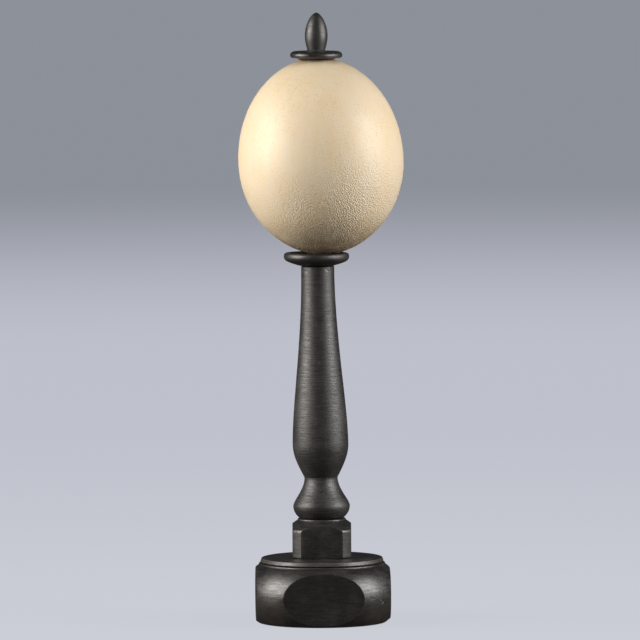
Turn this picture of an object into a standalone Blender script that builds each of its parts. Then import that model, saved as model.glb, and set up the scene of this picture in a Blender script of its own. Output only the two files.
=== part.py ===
"""Ostrich egg held upright on a turned, black-stained hardwood stand.

Metres, +Z up. The origin is the middle of the drum's flat underside, on the surface that it stands
on, and +X is to the right of someone who faces the front flat, which looks towards -Y.
The baluster leans slightly to the left in its socket. A steel rod comes up out of it and holds the
dish, the egg, the cap disc and the finial. The rod's hole was bored out of line with the baluster, so
everything above the baluster shares one frame of its own.
"""

import math

import bmesh
import bpy
from mathutils import Matrix, Vector
from mathutils.geometry import interpolate_bezier

GAP = 0.0003  # clearance between touching pieces
MERGE = 0.000001
SMOOTH_ANGLE = math.radians(30)

# Drum: a turned barrel with four flats sawn off it
DRUM_HEIGHT = 0.0471
DRUM_RADIUS = 0.0619
DRUM_BULGE_HEIGHT = 0.0221
DRUM_PROFILE_RADIUS = 0.0288
DRUM_TOP_RADIUS = 0.0484
DRUM_FOOT_RADIUS = 0.0498
DRUM_FLATS = (0.0529, 0.0533, 0.0529, 0.0522)  # from the axis to the front, right, back, left
DRUM_YAW = math.radians(1.5)

# Plate: the stepped disc on top of the drum
PLATE_THICKNESS = 0.0040
PLATE_LOWER_RADIUS = 0.0485
PLATE_UPPER_RADIUS = 0.0478
PLATE_ROUND = 0.0006
PLATE_FOOT_BEVEL = 0.0005

# Block: turned to its corner radius, then squared by four flats
BLOCK_HEIGHT = 0.0302
BLOCK_RADIUS = 0.0284
BLOCK_FLAT = 0.0231
BLOCK_SHOULDER_HEIGHT = 0.0221
BLOCK_NECK_RADIUS = 0.0186

# Tenons that join block to drum and baluster to block
LOWER_TENON_RADIUS = 0.0100
LOWER_TENON_DEPTH = 0.0090  # into the drum
UPPER_TENON_RADIUS = 0.0080
UPPER_TENON_DEPTH = 0.0120  # into the block

# Baluster: knob, waist, vase and long tapering shaft, turned from one length
BALUSTER_HEIGHT = 0.1980
BALUSTER_FOOT_RADIUS = 0.0174
KNOB_RADIUS = 0.0223
KNOB_HEIGHT = 0.0092
WAIST_RADIUS = 0.0131
WAIST_HEIGHT = 0.0306
VASE_RADIUS = 0.02195
VASE_HEIGHT = 0.0582
SHAFT_TOP_RADIUS = 0.01305
BALUSTER_LEAN = math.radians(-0.58)

# The frame above the baluster, and the rod along its axis
TOP_LEAN = math.radians(0.285)
TOP_SHIFT = -0.00092  # from the middle of the baluster's top
TOP_GAP = 0.0005  # at the axis; the leans take up part of it at the rim
ROD_RADIUS = 0.0030
ROD_BORE_RADIUS = ROD_RADIUS + GAP
ROD_INTO_SHAFT = 0.0350
ROD_INTO_FINIAL = 0.0140

# Dish under the egg; heights are above its underside
DISH_HEIGHT = 0.0103
DISH_RADIUS = 0.0257
DISH_FOOT_RADIUS = 0.0128
DISH_EDGE_HEIGHT = 0.0072
DISH_LIP_RADIUS = 0.0222
DISH_SEAT_RADIUS = 0.0180
DISH_SEAT_DEPTH = 0.0024

# Egg: two half ellipsoids that share an equator, the blunter half down and drawn in near its end
EGG_RADIUS = 0.0650
EGG_UPPER_LENGTH = 0.0807
EGG_LOWER_LENGTH = 0.0742
EGG_EQUATOR_HEIGHT = 0.0828  # above the dish's underside
EGG_OFFSET = 0.0036
EGG_TILT = math.radians(-3.5)
EGG_UPPER_TAPER = 0.02
EGG_LOWER_TAPER = 0.05
EGG_STEPS = 44  # faces round the egg, and round the cutter that makes room for it

# Cap disc on top of the egg
CAP_HEIGHT = 0.1630  # its flat underside, above the dish's underside
CAP_THICKNESS = 0.0058
CAP_RADIUS = 0.0205
CAP_EDGE_HEIGHT = 0.0023
CAP_DOME_RADIUS = 0.0165
CAP_SEAT_RADIUS = 0.0126
CAP_SEAT_DEPTH = 0.0018
CAP_SEAT_FLARE = 0.0030  # how much wider the seat is where it meets the disc
CAP_DOME_DROP = 0.0003  # from the finial's foot out to the dome's shoulder

# Finial: a pointed bud
FINIAL_HEIGHT = 0.0296
FINIAL_FOOT_RADIUS = 0.0069
FINIAL_RADIUS = 0.00895
FINIAL_WIDEST_HEIGHT = 0.0113

PLATE_BASE = DRUM_HEIGHT + GAP
BLOCK_BASE = PLATE_BASE + PLATE_THICKNESS + GAP
BALUSTER_BASE = BLOCK_BASE + BLOCK_HEIGHT + GAP
SHAFT_TOP = BALUSTER_BASE + BALUSTER_HEIGHT * math.cos(BALUSTER_LEAN)
SHAFT_TOP_SHIFT = BALUSTER_HEIGHT * math.sin(BALUSTER_LEAN)
FINIAL_BASE = CAP_HEIGHT + CAP_THICKNESS + GAP  # in the leaning frame


def linear(channel):
    """One sRGB channel from 0 to 1, turned to linear light."""
    return channel / 12.92 if channel <= 0.04045 else ((channel + 0.055) / 1.055) ** 2.4


def finish(name, hex_colour, roughness, metallic=0.0):
    """A plain Principled material from an sRGB hex colour."""
    material = bpy.data.materials.new(name)
    material.use_nodes = True
    shader = material.node_tree.nodes["Principled BSDF"]
    channels = [linear(int(hex_colour[i : i + 2], 16) / 255) for i in (0, 2, 4)]
    shader.inputs["Base Color"].default_value = (*channels, 1.0)
    shader.inputs["Roughness"].default_value = roughness
    shader.inputs["Metallic"].default_value = metallic
    material.diffuse_color = (*channels, 1.0)
    return material


def arc(centre, radius, start_deg, end_deg, steps):
    """Points (radius, height) round a circle in the profile's plane."""
    turn = (end_deg - start_deg) / steps
    angles = [math.radians(start_deg + turn * i) for i in range(steps + 1)]
    return [(centre[0] + radius * math.cos(a), centre[1] + radius * math.sin(a)) for a in angles]


def curve(start, start_handle, end_handle, end, steps):
    """Points (radius, height) along one Bezier span."""
    knots = [Vector((*point, 0.0)) for point in (start, start_handle, end_handle, end)]
    return [(point.x, point.y) for point in interpolate_bezier(*knots, steps + 1)]


def turned(outline, steps, ring=False):
    """A bmesh turned round Z. The outline runs axis to axis, or closes on itself for a ring."""
    bm = bmesh.new()
    verts = [bm.verts.new((radius, 0.0, height)) for radius, height in outline]
    pairs = list(zip(verts, verts[1:]))
    if ring:
        pairs.append((verts[-1], verts[0]))
    edges = [bm.edges.new(pair) for pair in pairs]
    bmesh.ops.spin(
        bm, geom=verts + edges, cent=(0, 0, 0), axis=(0, 0, 1), dvec=(0, 0, 0),
        angle=math.tau, steps=steps, use_merge=True, use_duplicate=False,
    )
    bmesh.ops.remove_doubles(bm, verts=bm.verts, dist=MERGE)
    bmesh.ops.recalc_face_normals(bm, faces=bm.faces)
    return bm


def square_off(bm, distances):
    """Saw four flats, at their distances from the axis: front, right, back and left."""
    for quarter, distance in enumerate(distances):
        outward = Matrix.Rotation(quarter * math.pi / 2, 3, "Z") @ Vector((0.0, -1.0, 0.0))
        sawn = bmesh.ops.bisect_plane(
            bm, geom=bm.verts[:] + bm.edges[:] + bm.faces[:], dist=MERGE,
            plane_co=outward * distance, plane_no=outward, clear_outer=True,
        )
        rim = [item for item in sawn["geom_cut"] if isinstance(item, bmesh.types.BMEdge)]
        bmesh.ops.edgeloop_fill(bm, edges=rim)
    bmesh.ops.recalc_face_normals(bm, faces=bm.faces)


def add_object(name, bm, material, parent=None, location=(0, 0, 0), rotation=(0, 0, 0)):
    """Turn a bmesh into a smooth-shaded object in the scene."""
    mesh = bpy.data.meshes.new(name)
    bm.to_mesh(mesh)
    bm.free()
    if material:
        mesh.materials.append(material)
    mesh.shade_smooth()
    mesh.set_sharp_from_angle(angle=SMOOTH_ANGLE)
    piece = bpy.data.objects.new(name, mesh)
    bpy.context.scene.collection.objects.link(piece)
    piece.parent = parent
    piece.location = location
    piece.rotation_euler = rotation
    return piece


def add_cutter(name, bm, parent, location=(0, 0, 0), rotation=(0, 0, 0)):
    """A guide that only cuts other pieces."""
    cutter = add_object(name, bm, None, parent, location, rotation)
    cutter.hide_render = True
    cutter.display_type = "WIRE"
    return cutter


def cut(piece, cutter):
    """Take the cutter's shape out of a piece."""
    modifier = piece.modifiers.new("cut_by_" + cutter.name, "BOOLEAN")
    modifier.operation = "DIFFERENCE"
    modifier.solver = "EXACT"
    modifier.object = cutter


def tenon(radius, foot, shoulder):
    """Outline points of a tenon, from the middle of its end up to the shoulder."""
    chamfer = 0.0008
    return [(0.0, foot), (radius - chamfer, foot), (radius, foot + chamfer), (radius, shoulder)]


def socket(radius, mouth, floor):
    """Outline points of a blind socket, from its mouth down to the middle of its floor."""
    return [(radius + GAP, mouth), (radius + GAP, floor - GAP), (0.0, floor - GAP)]


def make_drum():
    """The barrel: foot round, bulging side, a bead round the top and the socket in it."""
    centre = (DRUM_RADIUS - DRUM_PROFILE_RADIUS, DRUM_BULGE_HEIGHT)
    foot_round = 0.0018
    foot = arc((DRUM_FOOT_RADIUS, foot_round), foot_round, -90, -40, 2)
    side = arc(centre, DRUM_PROFILE_RADIUS, -44, 53.3, 9)
    bead = [(0.0497, 0.0455), (0.0494, 0.0463), (DRUM_TOP_RADIUS, DRUM_HEIGHT)]
    outline = [(0.0, 0.0), *foot, *side, *bead]
    outline += socket(LOWER_TENON_RADIUS, DRUM_HEIGHT, DRUM_HEIGHT - LOWER_TENON_DEPTH)
    bm = turned(outline, 48)
    square_off(bm, DRUM_FLATS)
    material = finish("base_drum_ebonised_wood", "2E2B28", 0.42)
    add_object("base_drum", bm, material, rotation=(0, 0, DRUM_YAW))


def make_plate():
    """A disc with a slightly coned edge and a hole for the block's tenon."""
    foot = (PLATE_LOWER_RADIUS - PLATE_FOOT_BEVEL, 0.0)
    hole = LOWER_TENON_RADIUS + GAP
    round_centre = (PLATE_UPPER_RADIUS - PLATE_ROUND, PLATE_THICKNESS - PLATE_ROUND)
    outline = [(hole, 0.0), foot, (PLATE_LOWER_RADIUS, PLATE_ROUND)]
    outline += [*arc(round_centre, PLATE_ROUND, 15, 90, 3), (hole, PLATE_THICKNESS)]
    material = finish("base_plate_ebonised_wood", "34312D", 0.42)
    add_object("base_plate", turned(outline, 40, ring=True), material, location=(0, 0, PLATE_BASE))


def make_block():
    """The square block: coned top, four flats, a tenon below and a socket above."""
    tenon_end = -(LOWER_TENON_DEPTH + GAP + PLATE_THICKNESS)
    outline = tenon(LOWER_TENON_RADIUS, tenon_end, 0.0)
    outline += [(BLOCK_RADIUS, 0.0), (BLOCK_RADIUS, BLOCK_SHOULDER_HEIGHT)]
    outline += [(BLOCK_NECK_RADIUS, BLOCK_HEIGHT)]
    outline += socket(UPPER_TENON_RADIUS, BLOCK_HEIGHT, BLOCK_HEIGHT - UPPER_TENON_DEPTH)
    bm = turned(outline, 48)
    square_off(bm, [BLOCK_FLAT] * 4)
    material = finish("block_ebonised_wood", "2A2825", 0.40)
    add_object("block", bm, material, location=(0, 0, BLOCK_BASE))


def baluster_outline():
    """Knob, waist, vase and shaft, from the tenon's end up to the middle of the flat top."""
    foot = (BALUSTER_FOOT_RADIUS, 0.0)
    knob = (KNOB_RADIUS, KNOB_HEIGHT)
    waist = (WAIST_RADIUS, WAIST_HEIGHT)
    quirk = (WAIST_RADIUS + 0.0001, WAIST_HEIGHT + 0.0015)
    vase = (VASE_RADIUS, VASE_HEIGHT)
    top = (SHAFT_TOP_RADIUS, BALUSTER_HEIGHT)
    outline = tenon(UPPER_TENON_RADIUS, -UPPER_TENON_DEPTH, 0.0)
    outline += curve(foot, (0.0192, 0.0012), (KNOB_RADIUS, 0.0046), knob, 5)
    outline += curve(knob, (KNOB_RADIUS, 0.0136), (0.0139, 0.0214), waist, 7)[1:]
    outline += curve(quirk, (0.0204, 0.0455), (VASE_RADIUS, 0.0516), vase, 7)
    outline += curve(vase, (VASE_RADIUS, 0.0903), (SHAFT_TOP_RADIUS, 0.1390), top, 9)[1:]
    return [*outline, (0.0, BALUSTER_HEIGHT)]


def make_baluster(rod_bore):
    """The turned column, leaning in its socket, with the rod's hole in its top."""
    material = finish("baluster_ebonised_wood", "322F2C", 0.38)
    bm = turned(baluster_outline(), 32)
    location = (0, 0, BALUSTER_BASE)
    piece = add_object("baluster", bm, material, location=location, rotation=(0, BALUSTER_LEAN, 0))
    cut(piece, rod_bore)


def make_dish(frame, egg_room):
    """The drip-dish shaped collar, with a hollow that takes the bottom of the egg."""
    edge = (DISH_RADIUS, DISH_EDGE_HEIGHT)
    lip = (DISH_LIP_RADIUS, DISH_HEIGHT)
    seat = DISH_HEIGHT - DISH_SEAT_DEPTH
    outline = [(ROD_BORE_RADIUS, 0.0)]
    outline += curve((DISH_FOOT_RADIUS, 0.0), (0.0196, 0.0019), (0.0251, 0.0036), edge, 6)
    outline += curve(edge, (DISH_RADIUS, 0.0092), (0.0251, 0.0104), lip, 3)[1:]
    outline += [(DISH_SEAT_RADIUS, seat), (ROD_BORE_RADIUS, seat)]
    material = finish("dish_ebonised_wood", "2C2A27", 0.36)
    piece = add_object("dish", turned(outline, 36, ring=True), material, parent=frame)
    cut(piece, egg_room)


def egg_outline(growth):
    """Half of the egg's long section, bottom pole to top pole, grown outwards evenly."""
    points = []
    rows = 22
    for row in range(rows + 1):
        angle = math.pi * (row / rows - 0.5)
        length = EGG_UPPER_LENGTH if angle > 0 else EGG_LOWER_LENGTH
        taper = EGG_UPPER_TAPER if angle > 0 else EGG_LOWER_TAPER
        drawn_in = 1 - taper * math.sin(angle) ** 4
        across = (EGG_RADIUS * drawn_in + growth) * math.cos(angle)
        along = (length + growth) * math.sin(angle)
        points.append((max(across, 0.0), along))
    return points


def make_egg(frame, rod_bore):
    """The egg, drilled right through for the rod."""
    material = finish("egg_shell", "EADBC0", 0.38)
    bm = turned(egg_outline(0.0), EGG_STEPS)
    location = (EGG_OFFSET, 0, EGG_EQUATOR_HEIGHT)
    piece = add_object("egg", bm, material, frame, location, (0, EGG_TILT, 0))
    cut(piece, rod_bore)


def make_cap(frame, egg_room):
    """The round-edged disc on the egg, with a small seat under it that fits the shell."""
    edge = (CAP_RADIUS, CAP_EDGE_HEIGHT)
    shoulder = (CAP_DOME_RADIUS, CAP_THICKNESS - CAP_DOME_DROP)
    lower_edge = (0.0178, 0.0)
    outline = [(ROD_BORE_RADIUS, -CAP_SEAT_DEPTH), (CAP_SEAT_RADIUS, -CAP_SEAT_DEPTH)]
    outline += [(CAP_SEAT_RADIUS + CAP_SEAT_FLARE, 0.0)]
    outline += curve(lower_edge, (0.0196, 0.0001), (CAP_RADIUS, 0.0010), edge, 3)
    outline += curve(edge, (CAP_RADIUS, 0.0040), (0.0191, 0.0053), shoulder, 4)[1:]
    outline += [(FINIAL_FOOT_RADIUS, CAP_THICKNESS), (ROD_BORE_RADIUS, CAP_THICKNESS)]
    material = finish("cap_disc_ebonised_wood", "2A2825", 0.36)
    bm = turned(outline, 32, ring=True)
    piece = add_object("cap_disc", bm, material, frame, (0, 0, CAP_HEIGHT))
    cut(piece, egg_room)


def make_finial(frame):
    """The pointed bud, bored from below for the end of the rod."""
    foot = (FINIAL_FOOT_RADIUS, 0.0)
    widest = (FINIAL_RADIUS, FINIAL_WIDEST_HEIGHT)
    tip = (0.0, FINIAL_HEIGHT)
    bore_end = ROD_INTO_FINIAL + GAP
    outline = [(0.0, bore_end), (ROD_BORE_RADIUS, bore_end), (ROD_BORE_RADIUS, 0.0)]
    outline += curve(foot, (0.0078, 0.0033), (FINIAL_RADIUS, 0.0070), widest, 4)
    outline += curve(widest, (FINIAL_RADIUS, 0.0209), (0.0034, 0.0286), tip, 8)[1:]
    material = finish("finial_ebonised_wood", "2C2A28", 0.38)
    add_object("finial", turned(outline, 20), material, frame, (0, 0, FINIAL_BASE))


def rod_shape(radius, extra):
    """A plain round bar in the leaning frame, from inside the shaft to inside the finial."""
    low = -ROD_INTO_SHAFT - extra
    high = FINIAL_BASE + ROD_INTO_FINIAL + extra
    return turned([(0.0, low), (radius, low), (radius, high), (0.0, high)], 16)


def make_rod(frame):
    """The steel rod that holds the egg and everything round it on the baluster."""
    material = finish("tie_rod_steel", "8A8C90", 0.35, metallic=1.0)
    add_object("tie_rod", rod_shape(ROD_RADIUS, 0.0), material, frame)


def make_leaning_frame():
    """The empty that everything above the baluster is fixed to."""
    frame = bpy.data.objects.new("top_frame", None)
    bpy.context.scene.collection.objects.link(frame)
    frame.location = (SHAFT_TOP_SHIFT + TOP_SHIFT, 0, SHAFT_TOP + TOP_GAP)
    frame.rotation_euler = (0, TOP_LEAN, 0)
    return frame


def main():
    for old in list(bpy.data.objects):
        bpy.data.objects.remove(old, do_unlink=True)
    frame = make_leaning_frame()
    rod_bore = add_cutter("rod_bore", rod_shape(ROD_BORE_RADIUS, GAP), frame)
    egg_place = (EGG_OFFSET, 0, EGG_EQUATOR_HEIGHT)
    egg_space = turned(egg_outline(GAP), EGG_STEPS)
    egg_room = add_cutter("egg_room", egg_space, frame, egg_place, (0, EGG_TILT, 0))
    make_drum()
    make_plate()
    make_block()
    make_baluster(rod_bore)
    make_dish(frame, egg_room)
    make_egg(frame, rod_bore)
    make_cap(frame, egg_room)
    make_finial(frame)
    make_rod(frame)


main()
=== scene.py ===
"""Ostrich egg on a turned, ebonised stand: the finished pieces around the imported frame.

Laid out as an add-on and run as a script. Metres, +Z up, the origin in the middle of the drum's
underside. Every piece's place is in its mesh, and each stands for one node of the frame.
"""

import math
import random

import bmesh
import bpy
from bpy.props import FloatProperty, FloatVectorProperty, PointerProperty
from mathutils import Euler, Matrix, Vector, noise
from mathutils.geometry import interpolate_bezier


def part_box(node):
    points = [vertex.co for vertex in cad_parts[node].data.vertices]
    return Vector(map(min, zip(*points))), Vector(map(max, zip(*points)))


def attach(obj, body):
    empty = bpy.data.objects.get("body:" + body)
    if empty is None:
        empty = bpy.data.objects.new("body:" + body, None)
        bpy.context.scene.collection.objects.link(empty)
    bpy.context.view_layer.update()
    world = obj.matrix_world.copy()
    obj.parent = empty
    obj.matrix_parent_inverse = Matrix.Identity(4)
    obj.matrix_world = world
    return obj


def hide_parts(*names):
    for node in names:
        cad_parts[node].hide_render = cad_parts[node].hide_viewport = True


bl_info = {
    "name": "Ostrich Egg on a Turned Stand",
    "version": (1, 0, 0),
    "blender": (4, 5, 0),
    "location": "3D View > Sidebar > Egg Stand",
    "description": "Builds an ostrich egg on a turned, ebonised hardwood stand",
    "category": "Add Mesh",
}

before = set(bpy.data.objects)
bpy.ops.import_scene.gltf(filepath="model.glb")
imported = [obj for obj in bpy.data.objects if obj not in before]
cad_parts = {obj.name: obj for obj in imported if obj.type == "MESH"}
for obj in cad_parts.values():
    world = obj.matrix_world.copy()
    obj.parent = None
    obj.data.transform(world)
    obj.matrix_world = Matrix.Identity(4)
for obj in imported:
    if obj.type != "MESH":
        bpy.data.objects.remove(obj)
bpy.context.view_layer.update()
BODY = "root"

MM = 0.001
GAP = 0.3 * MM  # clearance between touching pieces
MERGE = 0.001 * MM
SHARP_ANGLE = math.radians(40)
TURNED_STEPS = 128


def node_base(name):
    """The height of a node's lowest point."""
    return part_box(name)[0].z


def node_top(name):
    """The height of a node's highest point."""
    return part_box(name)[1].z


ROD_DEPTH = 35 * MM  # how far the rod stands in the baluster


def leaning_frame():
    """The place of everything above the baluster: the rod's line, from where it leaves the wood."""
    low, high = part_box("tie_rod")
    lean = math.atan((high.x - low.x - (high.y - low.y)) / (high.z - low.z))
    length = (high.z - low.z) / math.cos(lean)
    line = Vector((math.sin(lean), 0.0, math.cos(lean)))
    foot = (low + high) / 2 - line * (length / 2 - ROD_DEPTH)
    return Matrix.Translation(foot) @ Matrix.Rotation(lean, 4, "Y")


TOP_FRAME = leaning_frame()


# ---------------------------------------------------------------- settings


def linear(channel):
    """One sRGB channel from 0 to 1, turned to linear light."""
    return channel / 12.92 if channel <= 0.04045 else ((channel + 0.055) / 1.055) ** 2.4


def colour(hex_value):
    """An sRGB hex colour as linear red, green and blue."""
    return tuple(linear(int(hex_value[i : i + 2], 16) / 255) for i in (0, 2, 4))


def rgba(values):
    """Three channels with a full alpha, as a node's colour socket takes them."""
    return (*values, 1.0)


def size(name, millimetres, description):
    """A length that a user may change."""
    return FloatProperty(
        name=name, description=description, default=millimetres * MM, min=0.0,
        precision=5, subtype="DISTANCE", unit="LENGTH",
    )


def turn(name, degrees, description):
    """An angle that a user may change."""
    return FloatProperty(
        name=name, description=description, default=math.radians(degrees),
        subtype="ANGLE", unit="ROTATION",
    )


def share(name, value, description):
    """A part of a whole, from 0 to 1, that a user may change."""
    return FloatProperty(
        name=name, description=description, default=value, min=0.0, max=1.0, subtype="FACTOR",
    )


def tint(name, hex_value, description):
    """A colour that a user may change."""
    return FloatVectorProperty(
        name=name, description=description, default=colour(hex_value), size=3,
        min=0.0, max=1.0, subtype="COLOR",
    )


class DrumSettings(bpy.types.PropertyGroup):
    """The barrel-sided drum at the foot."""

    height: size("Height", 47.1, "Underside to top")
    radius: size("Radius", 61.9, "Radius of the barrel at its widest")
    bulge_height: size("Bulge height", 22.1, "Height of the widest ring")
    profile_radius: size("Profile radius", 28.8, "Radius of the barrel's side in section")
    top_radius: size("Top radius", 48.4, "Radius of the flat top")
    foot_radius: size("Foot radius", 49.8, "Radius of the flat underside")
    flat: size("Flat", 52.9, "From the axis to the front and back flats")
    side_flat: size("Side flat", 52.75, "From halfway between the side flats to each")
    flat_shift: size("Flat shift", 0.55, "How far the side flats are off centre, to the right")
    edge: size("Edge round", 0.5, "Width of the softened edge round each flat")
    yaw: turn("Turn", 1.5, "How far the drum is turned against the block")


class PlateSettings(bpy.types.PropertyGroup):
    """The stepped disc on the drum."""

    thickness: size("Thickness", 4.0, "Underside to top")
    lower_radius: size("Lower radius", 48.5, "Radius at the underside")
    upper_radius: size("Upper radius", 47.8, "Radius at the top")
    round: size("Edge round", 0.6, "Radius of the rounded upper edge")


class BlockSettings(bpy.types.PropertyGroup):
    """The square block with a coned top."""

    height: size("Height", 30.2, "Underside to top")
    radius: size("Corner radius", 28.4, "Radius the block was turned to before it was squared")
    flat: size("Flat", 23.1, "From the axis to each flat")
    shoulder: size("Shoulder height", 22.1, "Where the cone starts")
    neck_radius: size("Neck radius", 18.6, "Radius of the cone's top")
    edge: size("Edge round", 0.8, "Width of the softened edges")


class BalusterSettings(bpy.types.PropertyGroup):
    """Knob, waist, vase and tapering shaft."""

    height: size("Height", 198.0, "Underside of the knob to the flat top")
    foot_radius: size("Foot radius", 17.4, "Radius under the knob")
    knob_radius: size("Knob radius", 22.3, "Radius of the knob")
    knob_height: size("Knob height", 9.2, "Height of the knob's widest ring")
    waist_radius: size("Waist radius", 13.1, "Radius of the waist")
    waist_height: size("Waist height", 30.6, "Height of the crisp edge at the waist")
    vase_radius: size("Vase radius", 21.95, "Radius of the vase")
    vase_height: size("Vase height", 58.2, "Height of the vase's widest ring")
    top_radius: size("Top radius", 13.05, "Radius at the flat top")
    lean: turn("Lean", -0.58, "How far it leans in its socket, to the right")


class DishSettings(bpy.types.PropertyGroup):
    """The round-edged collar under the egg."""

    height: size("Height", 10.3, "Underside to lip")
    radius: size("Radius", 25.7, "Radius of the edge")
    edge_height: size("Edge height", 7.2, "Height of the widest ring")
    foot_radius: size("Foot radius", 12.8, "Radius of the underside")
    lip_radius: size("Lip radius", 22.2, "Radius of the lip")
    seat_radius: size("Seat radius", 18.0, "Radius of the hollow's floor")
    seat_depth: size("Seat depth", 2.4, "Depth of the hollow")


class EggSettings(bpy.types.PropertyGroup):
    """The ostrich egg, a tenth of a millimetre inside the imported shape's facets."""

    radius: size("Radius", 64.85, "Half of the egg's width")
    upper_length: size("Upper length", 80.6, "Equator to the narrower, upper end")
    lower_length: size("Lower length", 74.1, "Equator to the blunter, lower end")
    upper_taper: share("Upper taper", 0.02, "How much the upper end is drawn in")
    lower_taper: share("Lower taper", 0.05, "How much the lower end is drawn in")
    equator: size("Equator height", 82.8, "Height of the equator above the dish's underside")
    offset: size("Offset", 3.6, "How far the egg sits to the right of the rod")
    tilt: turn("Tilt", -3.5, "How far the egg leans against the rod")
    relief: size("Relief", 0.08, "Depth of the shell's shallow dimples")
    pore_spacing: size("Pore spacing", 3.0, "Distance between neighbouring pores")


class CapSettings(bpy.types.PropertyGroup):
    """The round-edged disc on top of the egg."""

    base: size("Base height", 163.0, "Its flat underside, above the dish's underside")
    thickness: size("Thickness", 5.8, "Underside to top")
    radius: size("Radius", 20.5, "Radius of the edge")
    edge_height: size("Edge height", 2.3, "Height of the widest ring")
    dome_radius: size("Dome radius", 16.5, "Where the rounded edge meets the top")
    seat_radius: size("Seat radius", 12.6, "Radius of the seat under it")
    seat_depth: size("Seat depth", 1.8, "How far the seat stands down")


class FinialSettings(bpy.types.PropertyGroup):
    """The pointed bud."""

    height: size("Height", 29.6, "Underside to point")
    foot_radius: size("Foot radius", 6.9, "Radius of the underside")
    radius: size("Radius", 8.95, "Radius of the bud")
    widest: size("Widest height", 11.3, "Height of the bud's widest ring")


class FinishSettings(bpy.types.PropertyGroup):
    """The colours of shell, wood and steel."""

    wood: tint("Ebonised wood", "1A1918", "Black-stained hardwood under wax")
    worn: tint("Worn wood", "46413C", "Where handling has thinned the stain")
    show_through: tint("Show-through", "3F281F", "Bare brown wood under the thinned stain")
    bare: tint("Bare nick", "D8CFC4", "Pale wood in a fresh nick")
    shell: tint("Shell", "F2E1C6", "Cream of the eggshell")
    shell_warm: tint("Warm shell", "EFD8AE", "Peach patches on the shell")
    pore: tint("Pore", "9C7C52", "Dirt in the shell's pores")
    # Painted shade: this brown darkens the shell just under the cap and towards its blunt lower end
    stain: tint("Painted shell shade", "7A5C36", "Painted shade under the cap and towards the blunt lower end")
    steel: tint("Steel", "9FA1A4", "Drawn steel of the rod")


class StudioSettings(bpy.types.PropertyGroup):
    """Floor, light and surroundings."""

    floor: tint("Floor", "303134", "Pale studio floor")
    # Painted light: the floor glows with these three, brightest round the object like a pool of light
    near: tint("Near glow", "C3C6CE", "Even light on the floor round the object")
    middle: tint("Middle glow", "BDBFCB", "Even light on the floor a few metres behind it")
    far: tint("Far glow", "8B8F98", "Even light on the floor far behind it")
    backdrop: tint("Backdrop", "92969E", "What is seen beyond the floor")
    room: tint("Room", "3A3A3C", "Dim light from behind and below")
    room_front: tint("Front of the room", "545455", "Soft light from the front")
    room_low: tint("Low light", "454340", "Light thrown up by the table")
    room_side: tint("Low side light", "7C776F", "Light thrown up by the table in front of the softboxes")
    left_power: FloatProperty(
        name="Left light", description="Power of the left softbox in watts", default=14.8, min=0.0,
    )
    right_power: FloatProperty(
        name="Right light", description="Power of the right softbox in watts", default=11.9, min=0.0,
    )


class EggStandSettings(bpy.types.PropertyGroup):
    """All settings of the egg and its stand."""

    drum: PointerProperty(type=DrumSettings)
    plate: PointerProperty(type=PlateSettings)
    block: PointerProperty(type=BlockSettings)
    baluster: PointerProperty(type=BalusterSettings)
    dish: PointerProperty(type=DishSettings)
    egg: PointerProperty(type=EggSettings)
    cap: PointerProperty(type=CapSettings)
    finial: PointerProperty(type=FinialSettings)
    finish: PointerProperty(type=FinishSettings)
    studio: PointerProperty(type=StudioSettings)


# ---------------------------------------------------------------- outlines


def arc(centre, radius, start_deg, end_deg, steps):
    """Points (radius, height) round a circle in the profile's plane."""
    step = (end_deg - start_deg) / steps
    angles = [math.radians(start_deg + step * i) for i in range(steps + 1)]
    return [(centre[0] + radius * math.cos(a), centre[1] + radius * math.sin(a)) for a in angles]


def curve(start, start_handle, end_handle, end, steps):
    """Points (radius, height) along one Bezier span."""
    knots = [Vector((*point, 0.0)) for point in (start, start_handle, end_handle, end)]
    return [(point.x, point.y) for point in interpolate_bezier(*knots, steps + 1)]


def scaled(*points):
    """Points given in millimetres, in metres."""
    return [(x * MM, y * MM) for x, y in points]


def along(points, lengths, distance):
    """The point and the outward normal at a distance along an outline."""
    for i in range(1, len(points)):
        if distance <= lengths[i] or i == len(points) - 1:
            start, end = points[i - 1], points[i]
            share = (distance - lengths[i - 1]) / max(lengths[i] - lengths[i - 1], 1e-9)
            run = (end - start).normalized()
            return start.lerp(end, share), Vector((run.y, -run.x))
    raise RuntimeError("an outline needs at least two points")


def scored(outline, seed, spacing, depth, width):
    """An outline with shallow lathe lines at uneven distances, each a narrow smooth groove.

    Spacing, depth and width are (least, most) in millimetres."""
    rng = random.Random(seed)
    points = [Vector(p) for p in outline]
    lengths = [0.0]
    for a, b in zip(points, points[1:]):
        lengths.append(lengths[-1] + (b - a).length)
    lines = []
    at = rng.uniform(*spacing) * MM
    while at < lengths[-1] - spacing[0] * MM:
        lines.append((at, rng.uniform(*width) * MM / 2, rng.uniform(*depth) * MM))
        at += rng.uniform(*spacing) * MM
    samples = [(d, 0.0) for d in lengths if all(abs(d - at) > half * 1.2 for at, half, _ in lines)]
    shape = ((-1.0, 0.0), (-0.5, 0.55), (0.0, 1.0), (0.5, 0.55), (1.0, 0.0))
    samples += [(at + half * x, deep * share) for at, half, deep in lines for x, share in shape]
    result = []
    for distance, cut in sorted(samples):
        point, outward = along(points, lengths, distance)
        result.append(tuple(point - outward * cut))
    return result


def tenon(radius, foot, shoulder):
    """Outline points of a tenon, from the middle of its end up to the shoulder."""
    chamfer = 0.8 * MM
    return [(0.0, foot), (radius - chamfer, foot), (radius, foot + chamfer), (radius, shoulder)]


def socket(radius, mouth, floor):
    """Outline points of a blind socket, from its mouth down to the middle of its floor."""
    return [(radius + GAP, mouth), (radius + GAP, floor - GAP), (0.0, floor - GAP)]


# ---------------------------------------------------------------- shaping


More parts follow.
